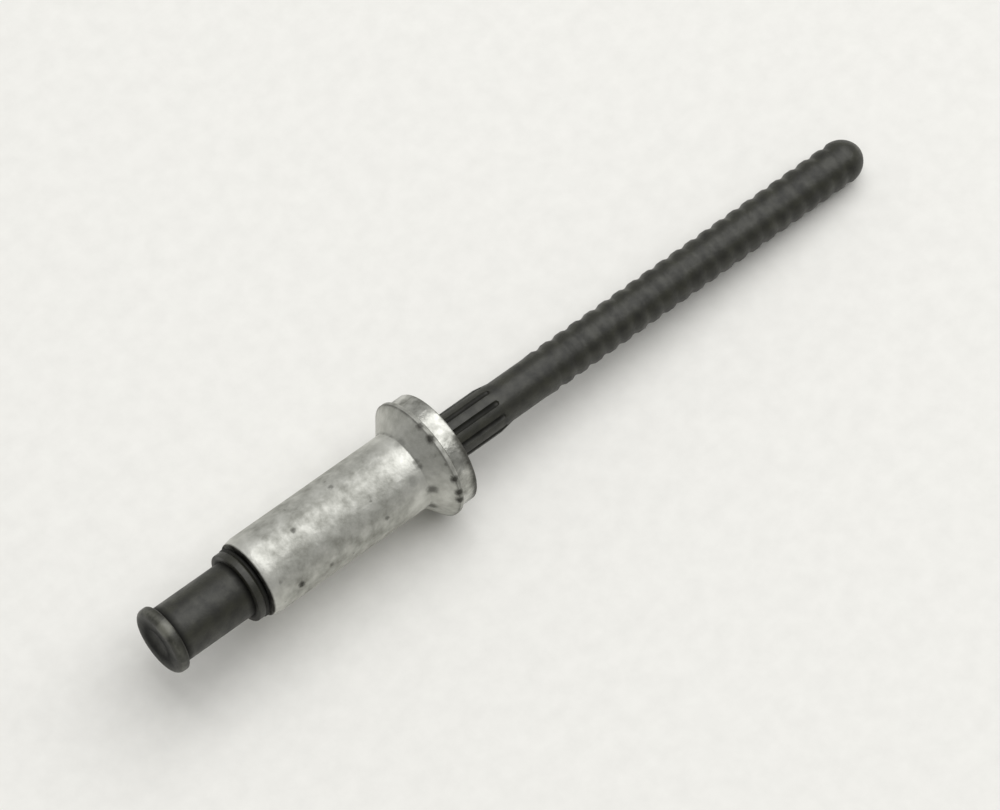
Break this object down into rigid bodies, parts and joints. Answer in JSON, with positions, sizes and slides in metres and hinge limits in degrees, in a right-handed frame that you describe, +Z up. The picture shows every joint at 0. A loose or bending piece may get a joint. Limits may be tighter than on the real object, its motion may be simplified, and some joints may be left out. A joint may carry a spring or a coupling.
{
  "type": "structural blind rivet",
  "caption": "Structural blind rivet, unset: countersunk aluminium sleeve on a dark steel stem with button, shear ring, splines and ring-grooved pulling end, and a driving anvil.",
  "frame": {"origin": "centre of the part's box on the surface that it lies on", "axes": "+X along the part towards the stem's tip, +Z up from the surface; the rivet's own axis dips by 4.28 degrees towards the tip"},
  "size_m": [0.0512, 0.0072, 0.0073],
  "materials": {
    "stem": "dark phosphated steel, oiled, with a soft sheen",
    "sleeve": "tumbled aluminium with a thin clear coating, satin, faintly mottled",
    "locking_collar": "plain turned steel",
    "driving_anvil": "tumbled grey metal, satin"
  },
  "bodies": {
    "root": {"stem": "stem", "sleeve": "sleeve", "locking_collar": "locking_collar", "driving_anvil": "driving_anvil"}
  },
  "joints": []
}
